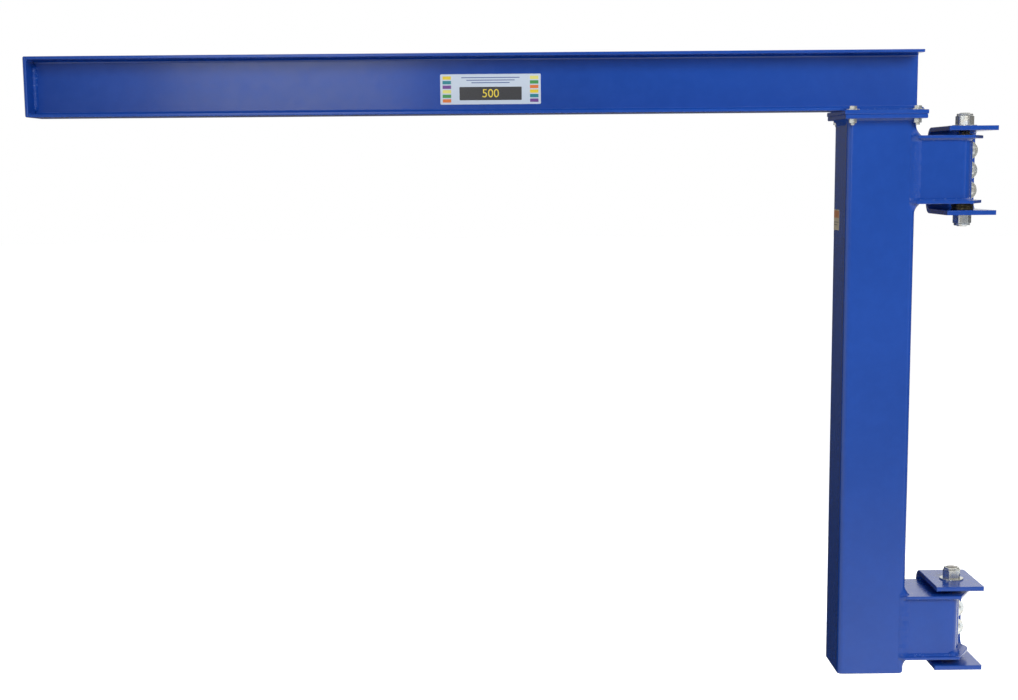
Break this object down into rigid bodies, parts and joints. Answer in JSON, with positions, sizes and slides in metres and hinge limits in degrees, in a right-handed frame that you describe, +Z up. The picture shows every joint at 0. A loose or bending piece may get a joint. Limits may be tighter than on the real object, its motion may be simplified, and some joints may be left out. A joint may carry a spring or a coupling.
{
  "type": "wall-mounted jib crane",
  "caption": "Wall-mounted jib crane: an I-beam boom bolted on a square post, with two arms that swing on pins in C-shaped wall brackets.",
  "frame": {"origin": "centre of the lower bracket's flat back face, where it lies on the wall", "axes": "+X along the wall, away from the boom at rest, with both pins at x = 0; +Y into the wall, whose face is y = 0; +Z up, along the pins"},
  "size_m": [2.4898, 0.3212, 1.6434],
  "materials": {
    "paint_blue": "glossy blue enamel on welded steel",
    "zinc": "zinc-plated bolts, nuts, washers and pins",
    "bronze": "plain bearing bronze, dull with oil"
  },
  "bodies": {
    "wall_brackets": {"upper_bracket": "paint_blue", "upper_wall_washers": "zinc", "upper_wall_bolts": "zinc", "upper_pin": "zinc", "upper_pin_washer": "zinc", "upper_pin_top_nut": "zinc", "upper_pin_bottom_nut": "zinc", "upper_thrust_bearing": "bronze", "lower_bracket": "paint_blue", "lower_wall_washers": "zinc", "lower_wall_bolts": "zinc", "lower_pin": "zinc", "lower_pin_washer": "zinc", "lower_pin_nut": "zinc", "lower_thrust_bearing": "bronze"},
    "jib": {"post": "paint_blue", "post_cap_plate": "paint_blue", "boom_base_plate": "paint_blue", "boom": "paint_blue", "boom_tip_plate": "paint_blue", "joint_bolts": "zinc", "joint_washers": "zinc", "joint_nuts": "zinc", "upper_arm_top_plate": "paint_blue", "upper_arm_bottom_plate": "paint_blue", "upper_arm_sides": "paint_blue", "upper_hub": "paint_blue", "upper_bushings": "bronze", "lower_arm_top_plate": "paint_blue", "lower_arm_bottom_plate": "paint_blue", "lower_arm_sides": "paint_blue", "lower_hub": "paint_blue", "lower_bushings": "bronze"}
  },
  "joints": [
    {"name": "jib_swing", "type": "hinge", "parent": "wall_brackets", "child": "jib", "pos_m": [0, -0.137, 0], "axis": [0, 0, 1], "range_deg": [0, 180]}
  ]
}
